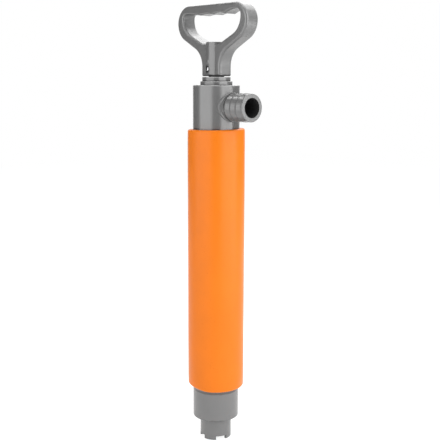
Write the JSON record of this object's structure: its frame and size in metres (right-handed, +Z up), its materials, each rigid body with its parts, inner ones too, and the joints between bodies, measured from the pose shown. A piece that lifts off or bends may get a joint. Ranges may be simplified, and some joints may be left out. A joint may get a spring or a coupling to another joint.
{
  "type": "hand bilge pump",
  "caption": "Hand-worked bilge pump with a foam-sleeved barrel, D-grip plunger, barbed side outlet and notched foot intake.",
  "frame": {"origin": "on the pump's axis, at the bottom of the intake crown, where the pump stands", "axes": "+Z up the barrel towards the handle, +X along the outlet spout and the grip bar"},
  "size_m": [0.114, 0.0636, 0.4943],
  "materials": {
    "grey_housing": "satin",
    "grey_handle": "satin",
    "orange_foam": "matte closed-cell foam",
    "barrel_tube": "smooth",
    "rod_tube": "smooth",
    "inner_plastic": "moulded",
    "black_rubber": "matte",
    "steel": "bright"
  },
  "bodies": {
    "pump_body": {"intake_crown": "grey_housing", "foot_cap": "grey_housing", "foot_valve_seat": "inner_plastic", "foot_valve_stem": "inner_plastic", "foot_seal": "black_rubber", "barrel": "barrel_tube", "float_sleeve": "orange_foam", "head_seal": "black_rubber", "outlet_head": "grey_housing", "spout": "grey_housing", "spout_seal": "black_rubber", "rod_guide": "grey_housing", "guide_seal": "black_rubber", "rod_wiper": "black_rubber", "guide_cap": "grey_housing"},
    "foot_flap": {"foot_valve_flap": "black_rubber"},
    "piston_ring": {"piston_seal": "black_rubber"},
    "plunger": {"piston_rod": "rod_tube", "rod_plug": "inner_plastic", "piston_body": "inner_plastic", "piston_plate": "inner_plastic", "flap_retainer": "inner_plastic", "piston_screw": "steel", "piston_washer": "steel", "handle": "grey_handle", "handle_pin": "steel"},
    "piston_valve": {"piston_flap": "black_rubber"}
  },
  "joints": [
    {"name": "stroke", "type": "slide", "parent": "pump_body", "child": "piston_ring", "axis": [0, 0, 1], "range_m": [0, 0.3]},
    {"name": "plunger_spin", "type": "hinge", "parent": "piston_ring", "child": "plunger", "pos_m": [0, 0, 0.3], "axis": [0, 0, 1], "continuous": true},
    {"name": "piston_flap_lift", "type": "slide", "parent": "plunger", "child": "piston_valve", "axis": [0, 0, 1], "range_m": [0, 0.003]},
    {"name": "foot_flap_lift", "type": "slide", "parent": "pump_body", "child": "foot_flap", "axis": [0, 0, 1], "range_m": [0, 0.0028]}
  ]
}
